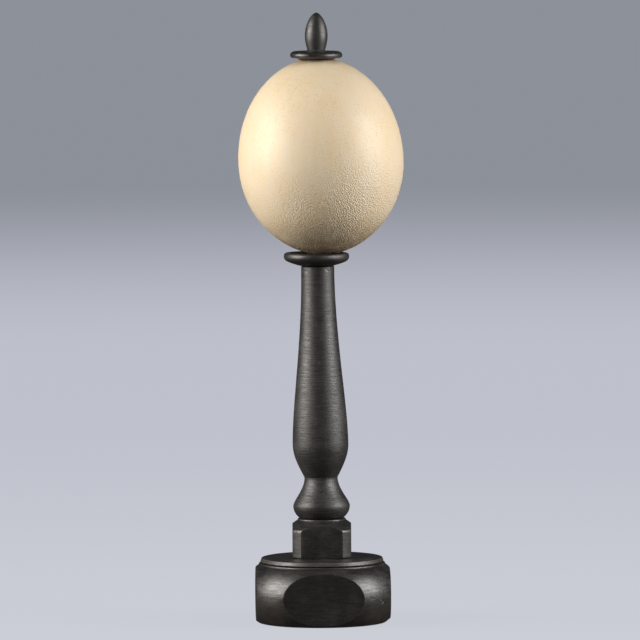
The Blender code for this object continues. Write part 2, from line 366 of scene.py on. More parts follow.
def turned(outline, steps=TURNED_STEPS, ring=False):
    """A bmesh turned round Z. The outline runs axis to axis, or closes on itself for a ring."""
    bm = bmesh.new()
    verts = [bm.verts.new((radius, 0.0, height)) for radius, height in outline]
    pairs = list(zip(verts, verts[1:]))
    if ring:
        pairs.append((verts[-1], verts[0]))
    edges = [bm.edges.new(pair) for pair in pairs]
    bmesh.ops.spin(
        bm, geom=verts + edges, cent=(0, 0, 0), axis=(0, 0, 1), dvec=(0, 0, 0),
        angle=math.tau, steps=steps, use_merge=True, use_duplicate=False,
    )
    bmesh.ops.remove_doubles(bm, verts=bm.verts, dist=MERGE)
    bmesh.ops.recalc_face_normals(bm, faces=bm.faces)
    return bm


def tidy_rim(bm, rim, shortest):
    """Weld what a saw cut leaves too close to its rim into the rim, and return the rim's edges."""
    on_rim = dict.fromkeys(v for edge in rim for v in edge.verts)  # in order, unlike a set
    welded = {}
    for vert in on_rim:
        for edge in vert.link_edges:
            other = edge.other_vert(vert)
            if edge.calc_length() < shortest and other not in welded and vert not in welded:
                if other not in on_rim or other not in welded.values():
                    welded[other] = vert
    bmesh.ops.weld_verts(bm, targetmap=welded)
    kept = {v for v in on_rim if v.is_valid}
    return [e for e in bm.edges if e.is_boundary and e.verts[0] in kept and e.verts[1] in kept]


def square_off(bm, distances, edge_round):
    """Saw flats, front, right, back and left, at distances from the axis, and soften their edges."""
    for quarter, distance in enumerate(distances):
        outward = Matrix.Rotation(quarter * math.pi / 2, 3, "Z") @ Vector((0.0, -1.0, 0.0))
        sawn = bmesh.ops.bisect_plane(
            bm, geom=bm.verts[:] + bm.edges[:] + bm.faces[:], dist=MERGE,
            plane_co=outward * distance, plane_no=outward, clear_outer=True,
        )
        rim = [item for item in sawn["geom_cut"] if isinstance(item, bmesh.types.BMEdge)]
        rim = tidy_rim(bm, rim, edge_round * 0.9)
        flat = bmesh.ops.edgeloop_fill(bm, edges=rim)["faces"]
        bmesh.ops.recalc_face_normals(bm, faces=bm.faces)
        bmesh.ops.inset_region(bm, faces=flat, thickness=edge_round * 2.5, use_even_offset=True)
        bmesh.ops.bevel(
            bm, geom=rim, offset=edge_round, offset_type="OFFSET", segments=3, profile=0.5,
            affect="EDGES", clamp_overlap=True, material=-1,
        )
        # One face with so many corners would be cut into slivers, which shade as dark lines
        bmesh.ops.poke(bm, faces=flat)
    bmesh.ops.recalc_face_normals(bm, faces=bm.faces)


def uneven(bm, seed, grain, depth):
    """Sink the surface, but not the underside, by a smooth random amount, as hand work leaves it."""
    bm.normal_update()
    shift = Vector((seed * 3.1, seed * 1.7, seed * 2.3))
    for vert in [v for v in bm.verts if v.normal.z > -0.9]:
        wave = 0.5 + 0.5 * noise.noise(vert.co / grain + shift)
        vert.co -= vert.normal * depth * wave


def dent(bm, centre, radii, depth, turned_by=0.0):
    """Press a smooth hollow into the surface. Radii are its reach along X, Y and Z, in millimetres,
    as is the centre, and the hollow is turned about Y."""
    bm.normal_update()
    unturn = Matrix.Rotation(-math.radians(turned_by), 3, "Y")
    for vert in bm.verts:
        offset = unturn @ (vert.co - Vector(centre) * MM)
        reach = Vector(a / (b * MM) for a, b in zip(offset, radii)).length
        if reach < 1.0:
            vert.co -= vert.normal * depth * MM * (1 - reach * reach) ** 2


def mark_wear(mesh, least_radius, most_radius):
    """Give a mesh an edge_wear value: 0 where it is round, 1 where it is bent tightly outwards."""
    bm = bmesh.new()
    bm.from_mesh(mesh)
    wear = []
    for vert in bm.verts:
        bend = 0.0
        for edge in vert.link_edges:
            other = edge.other_vert(vert)
            run = other.co - vert.co
            bend = max(bend, (other.normal - vert.normal).dot(run) / max(run.length_squared, 1e-12))
        share = (bend - 1 / most_radius) / (1 / least_radius - 1 / most_radius)
        wear.append(min(max(share, 0.0), 1.0))
    for _ in range(2):
        wear = [
            0.5 * wear[v.index]
            + 0.5 * sum(wear[e.other_vert(v).index] for e in v.link_edges) / max(len(v.link_edges), 1)
            for v in bm.verts
        ]
    # Long faces meet in the middle of a sawn flat, and would streak what its rim holds across it
    for middle in [v for v in bm.verts if len(v.link_edges) > 40]:
        for edge in middle.link_edges:
            wear[edge.other_vert(middle).index] = 0.0
    bm.free()
    layer = mesh.attributes.new("edge_wear", "FLOAT", "POINT")
    layer.data.foreach_set("value", wear)


def finished(name, bm, place, material, node, dents=()):
    """Turn a bmesh into a finished piece that stands for a node of the frame."""
    bm.transform(place)
    for hollow in dents:
        dent(bm, *hollow)
    bmesh.ops.recalc_face_normals(bm, faces=bm.faces)
    mesh = bpy.data.meshes.new(name)
    bm.to_mesh(mesh)
    bm.free()
    mesh.materials.append(material)
    piece = bpy.data.objects.new(name, mesh)
    bpy.context.scene.collection.objects.link(piece)
    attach(piece, BODY)
    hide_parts(node)
    return piece


def cut_away(piece, shape, place):
    """Take a shape out of a piece and keep the result as the piece's mesh."""
    shape.transform(place)
    bmesh.ops.recalc_face_normals(shape, faces=shape.faces)
    mesh = bpy.data.meshes.new("cutter")
    shape.to_mesh(mesh)
    shape.free()
    cutter = bpy.data.objects.new("cutter", mesh)
    bpy.context.scene.collection.objects.link(cutter)
    modifier = piece.modifiers.new("cut", "BOOLEAN")
    modifier.operation = "DIFFERENCE"
    modifier.solver = "EXACT"
    modifier.object = cutter
    graph = bpy.context.evaluated_depsgraph_get()
    result = bpy.data.meshes.new_from_object(piece.evaluated_get(graph))
    piece.modifiers.clear()
    before, piece.data = piece.data, result
    bpy.data.meshes.remove(before)
    result.name = piece.name
    bpy.data.objects.remove(cutter)
    bpy.data.meshes.remove(mesh)


def smooth(piece, wear=(0.5 * MM, 6 * MM)):
    """Shade a piece smooth between its real edges and mark where it is worn."""
    if not piece.data.polygons:
        raise RuntimeError(piece.name + " has no surface")
    piece.data.shade_smooth()
    piece.data.set_sharp_from_angle(angle=SHARP_ANGLE)
    if wear:
        mark_wear(piece.data, *wear)


# ---------------------------------------------------------------- materials


def add_node(tree, kind, inputs=None, stops=None, **settings):
    """Add a node. Inputs are values, or sockets to link from; stops are a colour ramp's."""
    node = tree.nodes.new(kind)
    for name, value in settings.items():
        setattr(node, name, value)
    for name, value in (inputs or {}).items():
        if isinstance(value, bpy.types.NodeSocket):
            tree.links.new(value, node.inputs[name])
        else:
            node.inputs[name].default_value = value
    if stops:
        elements = node.color_ramp.elements
        while len(elements) > 1:
            elements.remove(elements[-1])
        elements[0].position, elements[0].color = stops[0][0], rgba([stops[0][1]] * 3)
        for position, level in stops[1:]:
            elements.new(position).color = rgba([level] * 3)
    return node


def new_material(name, flat_colour):
    """An empty node material with its viewport colour."""
    material = bpy.data.materials.new(name)
    material.use_nodes = True
    material.node_tree.nodes.clear()
    material.diffuse_color = rgba(flat_colour)
    return material


def pattern(tree, vector, step_mm, detail=3.0, roughness=0.55):
    """The even noise that most patterns start from, with features about step_mm across."""
    return add_node(
        tree, "ShaderNodeTexNoise",
        {"Vector": vector, "Scale": 1 / (step_mm * MM), "Detail": detail, "Roughness": roughness},
    ).outputs["Fac"]


def between(tree, value, start, end, low=0.0, high=1.0):
    """A value mapped smoothly from one range to another."""
    return add_node(
        tree, "ShaderNodeMapRange",
        {"Value": value, "From Min": start, "From Max": end, "To Min": low, "To Max": high},
        interpolation_type="SMOOTHSTEP",
    ).outputs["Result"]


def maths(tree, operation, first, second=0.0, third=0.0, clamp=False):
    """One sum on two or three values."""
    return add_node(
        tree, "ShaderNodeMath", {0: first, 1: second, 2: third},
        operation=operation, use_clamp=clamp,
    ).outputs["Value"]


def blend(tree, factor, first, second):
    """Two colours mixed by a factor."""
    return add_node(
        tree, "ShaderNodeMix", {0: factor, 6: first, 7: second}, data_type="RGBA",
    ).outputs[2]


def raised(tree, height, depth_mm, normal=None):
    """A relief of a depth on top of an earlier one."""
    inputs = {"Height": height, "Strength": 1.0, "Distance": depth_mm * MM}
    if normal:
        inputs["Normal"] = normal
    return add_node(tree, "ShaderNodeBump", inputs).outputs["Normal"]


def in_place(tree, vector, place):
    """Coordinates that go with a piece instead of with the world."""
    return add_node(
        tree, "ShaderNodeMapping",
        {"Vector": vector, "Location": place.to_translation(), "Rotation": place.to_euler()},
        vector_type="TEXTURE",
    ).outputs["Vector"]


def ebonised_wood(name, place, grain_scale, ring_mm, roughness=0.50, line_depth=0.03,
                  rubbed=0.3, show_through=0.0, streak_wear_and_sheen=0.0, marks=()):
    """Hardwood stained black, turned, then waxed by hand.

    The stain is thin on edges and lets some brown through where it has worn. Lathe lines run round
    it, and the wax leaves a satin surface that is duller in patches. Marks are bare nicks: centre
    and reach in millimetres, turn about Y in degrees, and how bare each is.
    """
    finish = bpy.context.scene.egg_stand.finish
    material = new_material(name, finish.wood)
    tree = material.node_tree
    world = add_node(tree, "ShaderNodeTexCoord").outputs["Object"]
    local = in_place(tree, world, place)
    axes = add_node(tree, "ShaderNodeSeparateXYZ", {"Vector": local})
    fibres = add_node(tree, "ShaderNodeMapping", {"Vector": local, "Scale": grain_scale})
    grain = pattern(tree, fibres.outputs["Vector"], 1.3, 4.0, 0.6)
    patches = pattern(tree, local, 14, 5.0, 0.6)
    specks = pattern(tree, local, 1.7, 2.0)
    # The lathe's lines run round the piece, and break off and start again
    rounds = add_node(tree, "ShaderNodeMapping", {"Vector": local, "Scale": (0.14, 0.14, 1.0)})
    lines = pattern(tree, rounds.outputs["Vector"], ring_mm, 2.5, 0.7)
    wear = add_node(tree, "ShaderNodeAttribute", attribute_name="edge_wear").outputs["Fac"]

    # 1 on a squared piece's rounded corners, 0 on its flats and round its axis
    corner = maths(tree, "MINIMUM", *[maths(tree, "ABSOLUTE", axes.outputs[axis]) for axis in "XY"])
    corner = between(tree, corner, 26 * MM, 38 * MM)
    worn = between(tree, grain, 0.50, 0.75, 0.0, 0.18)
    worn = maths(tree, "ADD", worn, between(tree, patches, 0.45, 0.75, 0.0, 0.30))
    # Edges are lightened by how rubbed they are: wear, and on the stepped disc's rim also a painted highlight
    worn = maths(tree, "MULTIPLY_ADD", wear, rubbed, worn)
    if streak_wear_and_sheen:
        slant = add_node(
            tree, "ShaderNodeMapping",
            {"Vector": local, "Rotation": (0.3, 0.75, 0.0), "Scale": (1.0, 1.0, 9.0)},
            vector_type="TEXTURE",
        )
        streak_and_sheen = between(tree, pattern(tree, slant.outputs["Vector"], 1.5, 1.0), 0.62, 0.72)
        streak_and_sheen = maths(tree, "MULTIPLY", streak_and_sheen, between(tree, patches, 0.40, 0.58, 0.0, streak_wear_and_sheen))
        # Lighter streaks only on the barrel's upper half, where the side lights fall, and not on its flats: rubbing
        # and a painted highlight
        high = between(tree, axes.outputs["Z"], 22 * MM, 32 * MM)
        streak_and_sheen = maths(tree, "MULTIPLY", streak_and_sheen, maths(tree, "MULTIPLY", high, corner))
        worn = maths(tree, "ADD", worn, streak_and_sheen)
    surface = blend(tree, maths(tree, "MINIMUM", worn, 1.0), rgba(finish.wood), rgba(finish.worn))
    if show_through:
        # Brown shows low on the rounded corners, not on the flats
        low = between(tree, axes.outputs["Z"], 21 * MM, 2 * MM)
        thin = between(tree, patches, 0.38, 0.62, 0.0, show_through)
        brown = maths(tree, "MULTIPLY", maths(tree, "MULTIPLY", low, corner), thin)
        surface = blend(tree, brown, surface, rgba(finish.show_through))
    for centre, reach, turned_by, bareness in marks:
        spot = add_node(
            tree, "ShaderNodeMapping",
            {"Vector": world, "Location": Vector(centre) * MM, "Scale": Vector(reach) * MM,
             "Rotation": (0.0, math.radians(turned_by), 0.0)},
            vector_type="TEXTURE",
        )
        ball = add_node(
            tree, "ShaderNodeTexGradient", {"Vector": spot.outputs["Vector"]},
            gradient_type="SPHERICAL",
        )
        bare = between(tree, ball.outputs["Fac"], 0.0, 0.5, 0.0, bareness)
        surface = blend(tree, bare, surface, rgba(finish.bare))

    dull = maths(tree, "MULTIPLY_ADD", patches, 0.24, roughness - 0.24)
    dull = maths(tree, "MULTIPLY_ADD", maths(tree, "SUBTRACT", lines, 0.5), 0.5, dull)
    dull = maths(tree, "MULTIPLY_ADD", specks, 0.16, dull)
    relief = raised(tree, lines, line_depth)
    relief = raised(tree, grain, 0.012, relief)
    relief = raised(tree, specks, 0.03, relief)
    shader = add_node(
        tree, "ShaderNodeBsdfPrincipled",
        {"Base Color": surface, "Roughness": dull, "IOR": 1.74, "Normal": relief},
    )
    add_node(tree, "ShaderNodeOutputMaterial", {"Surface": shader.outputs["BSDF"]})
    return material


def eggshell(place, egg):
    """Raw ostrich eggshell, washed and rubbed to a satin sheen.

    Thick, dense and cream, with peach patches, and covered in small dirt-filled pores in a shallow
    orange-peel relief. It is browned with painted shade just under the cap and towards its blunt lower end.
    """
    finish = bpy.context.scene.egg_stand.finish
    material = new_material("washed_ostrich_eggshell", finish.shell)
    tree = material.node_tree
    local = in_place(tree, add_node(tree, "ShaderNodeTexCoord").outputs["Object"], place)
    height = add_node(tree, "ShaderNodeSeparateXYZ", {"Vector": local}).outputs["Z"]
    bands = add_node(tree, "ShaderNodeMapping", {"Vector": local, "Scale": (1.0, 1.0, 0.18)})
    band = pattern(tree, bands.outputs["Vector"], 9)
    broad = pattern(tree, local, 32)
    peel = pattern(tree, local, 0.95, 0.5, 0.5)
    # Cells are smaller than the pores are apart, because the surface meets only some of their middles
    cells = add_node(
        tree, "ShaderNodeTexVoronoi",
        {"Vector": local, "Scale": 1 / (egg.pore_spacing * 0.62), "Randomness": 1.0},
    )
    pore = between(tree, cells.outputs["Distance"], 0.26, 0.10)

    warm = between(tree, maths(tree, "ADD", broad, band), 0.75, 1.30, 0.2, 0.75)
    surface = blend(tree, warm, rgba(finish.shell), rgba(finish.shell_warm))
    dirty = between(tree, broad, 0.35, 0.65, 0.15, 0.5)
    surface = blend(tree, maths(tree, "MULTIPLY", pore, dirty), surface, rgba(finish.pore))
    # Painted shade: the shell is browned just under the cap and towards its blunt lower end, broken up by the bands
    upper = between(tree, height, egg.upper_length - 7 * MM, egg.upper_length - 1 * MM, 0.0, 0.5)
    lower = between(tree, height, 36 * MM - egg.lower_length, 2 * MM - egg.lower_length, 0.0, 0.6)
    ends = maths(tree, "MULTIPLY", maths(tree, "ADD", upper, lower), between(tree, band, 0.25, 0.6, 0.5))
    surface = blend(tree, ends, surface, rgba(finish.stain))

    dull = maths(tree, "MULTIPLY_ADD", peel, 0.12, 0.33)
    dull = maths(tree, "MULTIPLY_ADD", pore, 0.2, dull)
    # The relief is stronger towards the blunt, lower end
    strength = between(tree, height, 25 * MM, -45 * MM, 0.3, 2.5)
    relief = raised(tree, maths(tree, "MULTIPLY", peel, strength), 0.34)
    relief = raised(tree, maths(tree, "MULTIPLY", pore, -1.0), 0.08, relief)
    shader = add_node(
        tree, "ShaderNodeBsdfPrincipled",
        {"Base Color": surface, "Roughness": dull, "IOR": 1.5, "Normal": relief},
    )
    add_node(tree, "ShaderNodeOutputMaterial", {"Surface": shader.outputs["BSDF"]})
    return material


def drawn_steel():
    """Cold-drawn steel bar: fine draw lines along its length and a soft grey shine."""
    finish = bpy.context.scene.egg_stand.finish
    material = new_material("cold_drawn_steel", finish.steel)
    tree = material.node_tree
    local = add_node(tree, "ShaderNodeTexCoord").outputs["Object"]
    lines = add_node(tree, "ShaderNodeMapping", {"Vector": local, "Scale": (1.0, 1.0, 0.02)})
    draw = pattern(tree, lines.outputs["Vector"], 0.25)
    shader = add_node(
        tree, "ShaderNodeBsdfPrincipled",
        {"Base Color": rgba(finish.steel), "Metallic": 1.0,
         "Roughness": maths(tree, "MULTIPLY_ADD", draw, 0.2, 0.25),
         "Normal": raised(tree, draw, 0.01)},
    )
    add_node(tree, "ShaderNodeOutputMaterial", {"Surface": shader.outputs["BSDF"]})
    return material


def studio_floor_finish():
    """Matt painted board that glows with painted light: brightest round its middle, as a painted pool of light, and
    dimmer slowly with the distance.
    """
    studio = bpy.context.scene.egg_stand.studio
    material = new_material("matt_painted_board", studio.floor)
    tree = material.node_tree
    local = add_node(tree, "ShaderNodeTexCoord").outputs["Object"]
    away = add_node(tree, "ShaderNodeVectorMath", {0: local}, operation="LENGTH").outputs["Value"]
    glow = blend(tree, between(tree, away, 0.0, 2.2), rgba(studio.near), rgba(studio.middle))
    glow = blend(tree, between(tree, away, 2.8, 7.0), glow, rgba(studio.far))
    shader = add_node(
        tree, "ShaderNodeBsdfPrincipled",
        {"Base Color": rgba(studio.floor), "Roughness": 0.7, "Emission Color": glow,
         "Emission Strength": 1.0},
    )
    add_node(tree, "ShaderNodeOutputMaterial", {"Surface": shader.outputs["BSDF"]})
    return material


# ---------------------------------------------------------------- operators


class EGGSTAND_OT_drum(bpy.types.Operator):
    """Turn the barrel-sided drum and saw its four flats"""

    bl_idname = "eggstand.drum"
    bl_label = "Drum"

    def execute(self, context):
        d = context.scene.egg_stand.drum
        tenon_radius = 10 * MM
        tenon_depth = 9 * MM
        foot_round = 1.8 * MM
        centre = (d.radius - d.profile_radius, d.bulge_height)
        foot = arc((d.foot_radius, foot_round), foot_round, -90, -44, 5)
        side = arc(centre, d.profile_radius, -44, 53.3, 70)
        bead = curve(*scaled((49.75, 45.35), (50.0, 46.3), (49.5, 47.1)), (d.top_radius, d.height), 8)
        outline = scored(foot + side[1:], 11, (3.0, 9.0), (0.005, 0.015), (0.8, 1.6)) + bead
        rings = [(r * MM, d.height) for r in (44, 36, 28, 20)]
        outline = [(0.0, 0.0), (20 * MM, 0.0), (40 * MM, 0.0), *outline, *rings]
        outline += socket(tenon_radius, d.height, d.height - tenon_depth)
        bm = turned(outline, 256)
        uneven(bm, 3, 15 * MM, 0.15 * MM)
        flats = (d.flat, d.side_flat + d.flat_shift, d.flat, d.side_flat - d.flat_shift)
        square_off(bm, flats, d.edge)
        place = Matrix.Rotation(d.yaw, 4, "Z")
        chips = (
            ((47.4, -40.0, 19.6), (2.0, 2.0, 2.6), 0.45, 20),
            ((39.7, -47.4, 22.4), (1.3, 1.3, 1.3), 0.30),
            ((54.0, -5.0, 0.0), (3.5, 48.0, 5.0), 0.90),
        )
        marks = (
            ((48.2, -39.4, 19.2), (0.9, 1.2, 2.6), 25, 0.22),
            ((46.3, -41.2, 20.4), (0.8, 1.2, 1.6), -30, 0.16),
        )
        # The barrel's upper half gets lighter streaks: scratches and a painted highlight
        material = ebonised_wood(
            "drum_ebonised_hardwood_waxed", place, (1.0, 1.0, 1.0), 1.8, roughness=0.43,
            line_depth=0.04, show_through=0.6, streak_wear_and_sheen=0.9, marks=marks,
        )
        piece = finished("drum_barrel", bm, place, material, "base_drum", chips)
        smooth(piece)
        return {"FINISHED"}


class EGGSTAND_OT_plate(bpy.types.Operator):
    """Turn the stepped disc on the drum"""

    bl_idname = "eggstand.plate"
    bl_label = "Stepped Disc"

    def execute(self, context):
        p = context.scene.egg_stand.plate
        hole = 10 * MM + GAP
        centre = (p.upper_radius - p.round, p.thickness - p.round - 0.65 * MM)
        foot = (p.lower_radius - 0.5 * MM, 0.0)
        edge = [(p.lower_radius, 0.6 * MM), *arc(centre, p.round, 15, 70, 8)]
        # The top falls a little outside the block's foot, and more towards the rim
        top = curve(edge[-1], *scaled((46.9, 3.55), (45.6, 3.86), (42.0, 3.92)), 8)
        top += scaled((38.0, 3.92), (34.0, 3.90), (33.0, 3.90), (32.2, 3.94), (31.4, 4.0), (26.0, 4.0), (20.0, 4.0))
        top = scored(top, 12, (2.5, 6.0), (0.01, 0.03), (0.6, 1.2))
        outline = [(hole, 0.0), (30 * MM, 0.0), foot, *edge, *top[1:], (hole, p.thickness)]
        bm = turned(outline, 192, ring=True)
        uneven(bm, 4, 17 * MM, 0.10 * MM)
        place = Matrix.Translation((0, 0, node_base("base_plate")))
        # The rim's edges are lightened far past the other pieces: wear, and a painted highlight where the rim
        # catches the side lights
        material = ebonised_wood("disc_ebonised_hardwood_waxed", place, (1.0, 0.05, 1.0), 1.4, line_depth=0.03, rubbed=0.9)
        piece = finished("stepped_disc", bm, place, material, "base_plate")
        smooth(piece)
        return {"FINISHED"}


class EGGSTAND_OT_block(bpy.types.Operator):
    """Turn the block's round and cone, then square it with four flats"""

    bl_idname = "eggstand.block"
    bl_label = "Square Block"

    def execute(self, context):
        b = context.scene.egg_stand.block
        base = node_top("block") - b.height
        foot_round = 0.8 * MM
        outline = tenon(10 * MM, node_base("block") - base, 0.0)
        wall = arc((b.radius - foot_round, foot_round), foot_round, -90, 0, 4)
        wall += [(b.radius, 2 * MM + (b.shoulder - 4 * MM) * k / 20) for k in range(21)]
        turn_in = (b.radius - 1.7 * MM, b.shoulder + 1.1 * MM)
        shoulder = curve(
            (b.radius, b.shoulder - 1.6 * MM), (b.radius - 0.05 * MM, b.shoulder - 0.5 * MM),
            (b.radius - 0.7 * MM, b.shoulder + 0.45 * MM), turn_in, 8,
        )
        cone = curve(turn_in, *scaled((25.0, 24.8), (21.4, 27.3), (19.7, 28.5)), 11)
        bead = arc((17.9 * MM, b.height - 1.2 * MM), 1.2 * MM, -20, 90, 12)
        outline += scored(wall + shoulder + cone[1:], 13, (3.0, 7.0), (0.005, 0.02), (0.6, 1.1))
        outline += [(19.3 * MM, 28.6 * MM), *bead]
        outline += socket(8 * MM, b.height, b.height - 12 * MM)
        bm = turned(outline, 160)
        uneven(bm, 5, 11 * MM, 0.10 * MM)
        square_off(bm, [b.flat] * 4, b.edge)
        place = Matrix.Translation((0, 0, base))
        material = ebonised_wood("block_ebonised_hardwood_waxed", place, (1.0, 1.0, 0.06), 1.5, roughness=0.46, line_depth=0.03)
        piece = finished("square_block", bm, place, material, "block")
        smooth(piece)
        return {"FINISHED"}


def baluster_side(b):
    """Knob, waist, vase and shaft, from the foot up to the edge of the flat top."""
    foot = (b.foot_radius, 0.0)
    knob = (b.knob_radius, b.knob_height)
    waist = (b.waist_radius, b.waist_height)
    quirk = (b.waist_radius + 0.1 * MM, b.waist_height + 1.5 * MM)
    vase = (b.vase_radius, b.vase_height)
    top = (b.top_radius, b.height - 0.1 * MM)
    knob_handle, waist_handle, vase_handle, shaft_handle = scaled(
        (19.2, 1.2), (13.9, 21.4), (20.4, 45.5), (13.05, 139.0)
    )
    side = curve(foot, knob_handle, (b.knob_radius, 4.6 * MM), knob, 20)
    side += curve(knob, (b.knob_radius, 13.6 * MM), waist_handle, waist, 36)[1:]
    side += curve(quirk, vase_handle, (b.vase_radius, 51.6 * MM), vase, 40)
    side += curve(vase, (b.vase_radius, 90.3 * MM), shaft_handle, top, 150)[1:]
    return side


class EGGSTAND_OT_baluster(bpy.types.Operator):
    """Turn the baluster and drill its top for the rod"""

    bl_idname = "eggstand.baluster"
    bl_label = "Baluster"

    def execute(self, context):
        b = context.scene.egg_stand.baluster
        outline = tenon(8 * MM, -12 * MM, 0.0)
        outline += scored(baluster_side(b), 14, (1.6, 6.0), (0.008, 0.032), (0.5, 1.2))
        outline += [(b.top_radius - 0.1 * MM, b.height), (8 * MM, b.height), (0.0, b.height)]
        bm = turned(outline, 120)
        uneven(bm, 6, 13 * MM, 0.10 * MM)
        foot = Matrix.Translation((0, 0, node_top("block") + GAP))
        place = foot @ Matrix.Rotation(b.lean, 4, "Y")
        nicks = (
            ((-11.2, -9.3, 276.3), (2.6, 2.6, 0.9), 0.25, 8),
            ((4.9, -11.1, 277.5), (2.6, 2.6, 0.9), 0.25, 42),
            ((-1.4, -16.9, 205.0), (3.4, 3.0, 1.1), 0.30, -20),
        )
        marks = (
            ((-11.2, -9.3, 276.3), (2.0, 2.6, 0.6), 8, 0.45),
            ((4.9, -11.1, 277.5), (2.2, 2.6, 0.6), 42, 0.50),
            ((-1.4, -16.9, 205.8), (2.2, 2.6, 0.5), -20, 0.12),
        )
        material = ebonised_wood(
            "baluster_ebonised_hardwood_waxed", place, (1.0, 1.0, 0.05), 1.3, roughness=0.54, line_depth=0.17, marks=marks,
        )
        piece = finished("turned_baluster", bm, place, material, "baluster", nicks)
        cut_away(piece, rod_bore(), TOP_FRAME)
        smooth(piece)
        return {"FINISHED"}


def rod_bore():
    """The hole that the rod passes through, a little wider than the rod."""
    low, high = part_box("tie_rod")
    radius = (high.y - low.y) / 2 + GAP
    return turned([(0, -36 * MM), (radius, -36 * MM), (radius, 200 * MM), (0, 200 * MM)], 32)


def egg_place(egg):
    """Where the egg's equator is, in the row frame."""
    offset = Matrix.Translation((egg.offset, 0, egg.equator))
    return TOP_FRAME @ offset @ Matrix.Rotation(egg.tilt, 4, "Y")


def egg_room(egg):
    """A smooth egg, grown by the clearance, that its seats are cut with."""
    points = []
    rows = 90
    for row in range(rows + 1):
        angle = math.pi * (row / rows - 0.5)
        length = egg.upper_length if angle > 0 else egg.lower_length
        taper = egg.upper_taper if angle > 0 else egg.lower_taper
        across = (egg.radius * (1 - taper * math.sin(angle) ** 4) + GAP) * math.cos(angle)
        points.append((max(across, 0.0), (length + GAP) * math.sin(angle)))
    return turned(points, 96)


class EGGSTAND_OT_dish(bpy.types.Operator):
    """Turn the dish under the egg and hollow its seat"""

    bl_idname = "eggstand.dish"
    bl_label = "Dish"

    def execute(self, context):
        s = context.scene.egg_stand
        d = s.dish
        edge = (d.radius, d.edge_height)
        lip = (d.lip_radius, d.height)
        under, rim, over = scaled((19.2, 1.7), (22.8, 3.0), (25.1, 10.4))
        quirk = scaled((24.1, 4.1), (24.8, 4.6), (25.7, 5.7))
        bore = (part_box("tie_rod")[1].y) + GAP
        seat = d.height - d.seat_depth
        side = curve((d.foot_radius, 0.0), under, rim, quirk[0], 34)
        side += curve(*quirk, edge, 12)[1:]
        side += curve(edge, (d.radius, 9.2 * MM), over, lip, 18)[1:]
        side = scored(side, 15, (2.0, 6.0), (0.005, 0.02), (0.5, 0.9))
        outline = [(bore, 0.0), *side, (d.lip_radius - 1.2 * MM, d.height - 0.5 * MM)]
        outline += [(d.seat_radius, seat), (bore, seat)]
        bm = turned(outline, 160, ring=True)
        material = ebonised_wood("dish_ebonised_hardwood_waxed", TOP_FRAME, (1.0, 1.0, 0.06), 1.2, roughness=0.50)
        piece = finished("egg_dish", bm, TOP_FRAME, material, "dish")
        cut_away(piece, egg_room(s.egg), egg_place(s.egg))
        smooth(piece)
        return {"FINISHED"}


class EGGSTAND_OT_egg(bpy.types.Operator):
    """Shape the egg, dimple its shell and drill it for the rod"""

    bl_idname = "eggstand.egg"
    bl_label = "Ostrich Egg"

    def execute(self, context):
        egg = context.scene.egg_stand.egg
        bm = bmesh.new()
        bmesh.ops.create_cube(bm, size=2.0)
        bmesh.ops.subdivide_edges(bm, edges=bm.edges, cuts=126, use_grid_fill=True)
        for vert in bm.verts:
            # Even steps of angle keep the faces about the same size all over
            way = Vector(math.tan(part * math.pi / 4) for part in vert.co).normalized()
            length = egg.upper_length if way.z > 0 else egg.lower_length
            taper = egg.upper_taper if way.z > 0 else egg.lower_taper
            across = egg.radius * (1 - taper * way.z**4)
            point = Vector((way.x * across, way.y * across, way.z * length))
            outward = Vector((way.x / egg.radius, way.y / egg.radius, way.z / length)).normalized()
            peel = 0.5 + 0.5 * noise.noise(point / (3.2 * MM))
            swell = 0.5 + 0.5 * noise.noise(point / (26 * MM))
            vert.co = point - outward * egg.relief * (0.75 * peel + 0.25 * swell)
        place = egg_place(egg)
        piece = finished("ostrich_egg", bm, place, eggshell(place, egg), "egg")
        cut_away(piece, rod_bore(), TOP_FRAME)
        smooth(piece, wear=None)
        return {"FINISHED"}


class EGGSTAND_OT_cap(bpy.types.Operator):
    """Turn the cap disc and fit its seat to the shell"""

    bl_idname = "eggstand.cap"
    bl_label = "Cap Disc"

    def execute(self, context):
        s = context.scene.egg_stand
        c = s.cap
        edge = (c.radius, c.edge_height)
        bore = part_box("tie_rod")[1].y + GAP
        shoulder = (c.dome_radius, c.thickness - 0.3 * MM)
        lower, under, rim, over = scaled((17.8, 0.0), (19.6, 0.1), (20.5, 1.0), (19.1, 5.3))
        side = curve(lower, under, rim, edge, 12)
        side += curve(edge, (c.radius, 4.0 * MM), over, shoulder, 18)[1:]
        side += curve(shoulder, (13 * MM, c.thickness - 0.1 * MM), (10 * MM, c.thickness), (7 * MM, c.thickness), 10)[1:]
        side = scored(side, 16, (2.0, 5.0), (0.005, 0.02), (0.5, 0.9))
        outline = [(bore, -c.seat_depth), (c.seat_radius, -c.seat_depth), (c.seat_radius + 3 * MM, 0.0)]
        outline += [*side, (bore, c.thickness)]
        bm = turned(outline, 160, ring=True)
        place = TOP_FRAME @ Matrix.Translation((0, 0, c.base))
        material = ebonised_wood("cap_ebonised_hardwood_waxed", place, (1.0, 1.0, 0.06), 1.2, roughness=0.42)
        piece = finished("cap_on_egg", bm, place, material, "cap_disc")
        cut_away(piece, egg_room(s.egg), egg_place(s.egg))
        smooth(piece)
        return {"FINISHED"}


